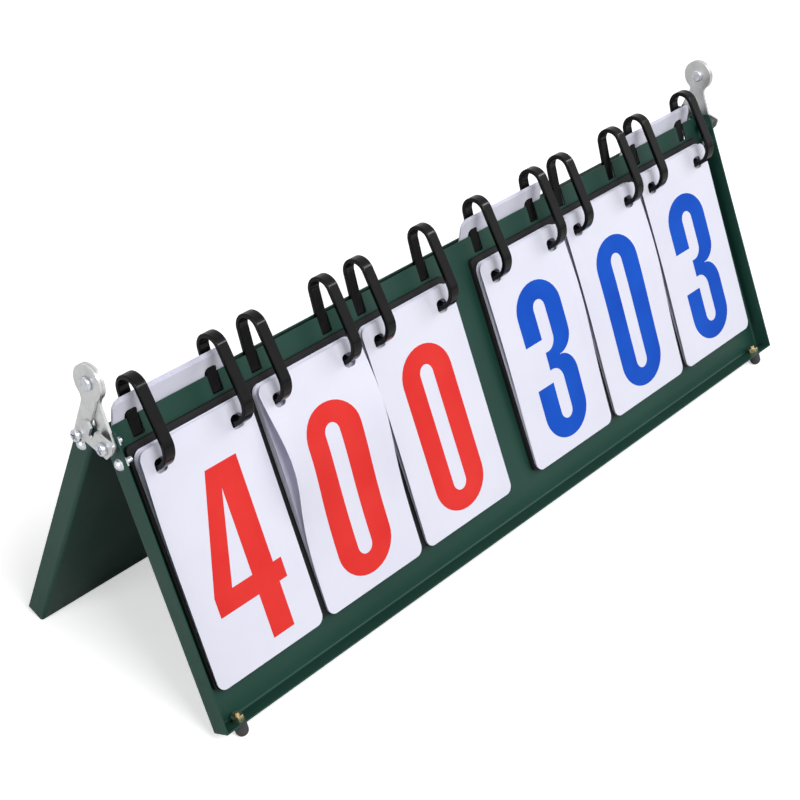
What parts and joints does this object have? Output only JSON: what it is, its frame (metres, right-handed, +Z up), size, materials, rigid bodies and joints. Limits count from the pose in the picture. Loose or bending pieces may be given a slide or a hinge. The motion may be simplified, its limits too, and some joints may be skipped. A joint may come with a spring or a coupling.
{
  "type": "tabletop flip scoreboard",
  "caption": "Free-standing A-frame scoreboard of two folding sheet-metal trays with ringed number cards that flip over the top, for two sides' scores.",
  "frame": {"origin": "bottom centre of the bounding box, on the table, with the trays open", "axes": "+X along the board towards the viewer's right when facing the cards, -Y towards the viewer, +Z up"},
  "size_m": [0.6172, 0.1816, 0.2227],
  "materials": {
    "tray_paint": "semi-gloss dark green powder coat with light scuffs",
    "board_plastic": "fine-grained black sheet",
    "ring_plastic": "glossy black moulded strap",
    "card_plastic": "smooth white sheet with a soft sheen, printed digits",
    "hinge_steel": "zinc-plated stamped plate",
    "fastener_steel": "bright plated fasteners",
    "foot_brass": "plain threaded bolt and nut",
    "foot_rubber": "matt black rubber"
  },
  "bodies": {
    "front_panel": {"front_tray": "tray_paint", "backing_board_left": "board_plastic", "backing_board_right": "board_plastic", "ring_01": "ring_plastic", "ring_02": "ring_plastic", "ring_03": "ring_plastic", "ring_04": "ring_plastic", "ring_05": "ring_plastic", "ring_06": "ring_plastic", "ring_07": "ring_plastic", "ring_08": "ring_plastic", "ring_09": "ring_plastic", "ring_10": "ring_plastic", "ring_11": "ring_plastic", "ring_12": "ring_plastic", "card_stack_1": "card_plastic", "flipped_cards_1": "card_plastic", "card_stack_2": "card_plastic", "card_stack_3": "card_plastic", "card_stack_4": "card_plastic", "flipped_cards_4": "card_plastic", "card_stack_5": "card_plastic", "card_stack_6": "card_plastic", "flipped_cards_6": "card_plastic", "front_pivot_screws": "fastener_steel", "front_pivot_nuts": "fastener_steel", "front_domed_bolts": "fastener_steel", "front_domed_nuts": "fastener_steel", "front_bushes": "fastener_steel", "foot_bolts": "foot_brass", "foot_nuts": "foot_brass", "foot_washers": "fastener_steel", "rubber_foot_left": "foot_rubber", "rubber_foot_right": "foot_rubber"},
    "front_arms": {"front_arm_left": "hinge_steel", "front_arm_right": "hinge_steel", "rivets": "fastener_steel"},
    "rear_arms": {"rear_arm_left": "hinge_steel", "rear_arm_right": "hinge_steel"},
    "rear_panel": {"rear_tray": "tray_paint", "rear_pivot_screws": "fastener_steel", "rear_pivot_nuts": "fastener_steel", "rear_domed_bolts": "fastener_steel", "rear_domed_nuts": "fastener_steel", "rear_bushes": "fastener_steel"},
    "hook_left": {"hook_link_left": "hinge_steel"},
    "hook_right": {"hook_link_right": "hinge_steel"},
    "card_1": {"top_card_1": "card_plastic"},
    "card_2": {"top_card_2": "card_plastic"},
    "card_3": {"top_card_3": "card_plastic"},
    "card_4": {"top_card_4": "card_plastic"},
    "card_5": {"top_card_5": "card_plastic"},
    "card_6": {"top_card_6": "card_plastic"}
  },
  "joints": [
    {"name": "front_arm_swing", "type": "hinge", "parent": "front_panel", "child": "front_arms", "pos_m": [0, -0.00377, 0.17481], "axis": [-1, 0, 0], "range_deg": [0, 23.05]},
    {"name": "rivet_pivot", "type": "hinge", "parent": "front_arms", "child": "rear_arms", "pos_m": [0, 0.00851, 0.2113], "axis": [-1, 0, 0], "range_deg": [0, 0.9089]},
    {"name": "fold", "type": "hinge", "parent": "rear_arms", "child": "rear_panel", "pos_m": [0, 0.0178, 0.17394], "axis": [-1, 0, 0], "range_deg": [0, 23.05], "deforming": ["flipped_cards_1", "flipped_cards_4", "flipped_cards_6"]},
    {"name": "hook_lift_left", "type": "hinge", "parent": "front_arms", "child": "hook_left", "pos_m": [0, -0.00377, 0.17481], "axis": [1, 0, 0], "range_deg": [0, 70]},
    {"name": "hook_lift_right", "type": "hinge", "parent": "front_arms", "child": "hook_right", "pos_m": [0, -0.00377, 0.17481], "axis": [1, 0, 0], "range_deg": [0, 70]},
    {"name": "card_1_lift", "type": "hinge", "parent": "front_panel", "child": "card_1", "pos_m": [0, -0.01132, 0.1668], "axis": [-1, 0, 0], "range_deg": [0, 90]},
    {"name": "card_2_lift", "type": "hinge", "parent": "front_panel", "child": "card_2", "pos_m": [0, -0.01132, 0.1668], "axis": [-1, 0, 0], "range_deg": [0, 90]},
    {"name": "card_3_lift", "type": "hinge", "parent": "front_panel", "child": "card_3", "pos_m": [0, -0.01132, 0.1668], "axis": [-1, 0, 0], "range_deg": [0, 90]},
    {"name": "card_4_lift", "type": "hinge", "parent": "front_panel", "child": "card_4", "pos_m": [0, -0.01132, 0.1668], "axis": [-1, 0, 0], "range_deg": [0, 90]},
    {"name": "card_5_lift", "type": "hinge", "parent": "front_panel", "child": "card_5", "pos_m": [0, -0.01132, 0.1668], "axis": [-1, 0, 0], "range_deg": [0, 90]},
    {"name": "card_6_lift", "type": "hinge", "parent": "front_panel", "child": "card_6", "pos_m": [0, -0.01132, 0.1668], "axis": [-1, 0, 0], "range_deg": [0, 90]}
  ],
  "couplings": [
    {"joint": "front_arm_swing", "follows": "fold", "ratio": 1},
    {"joint": "rivet_pivot", "follows": "fold", "ratio": 0.039435}
  ]
}
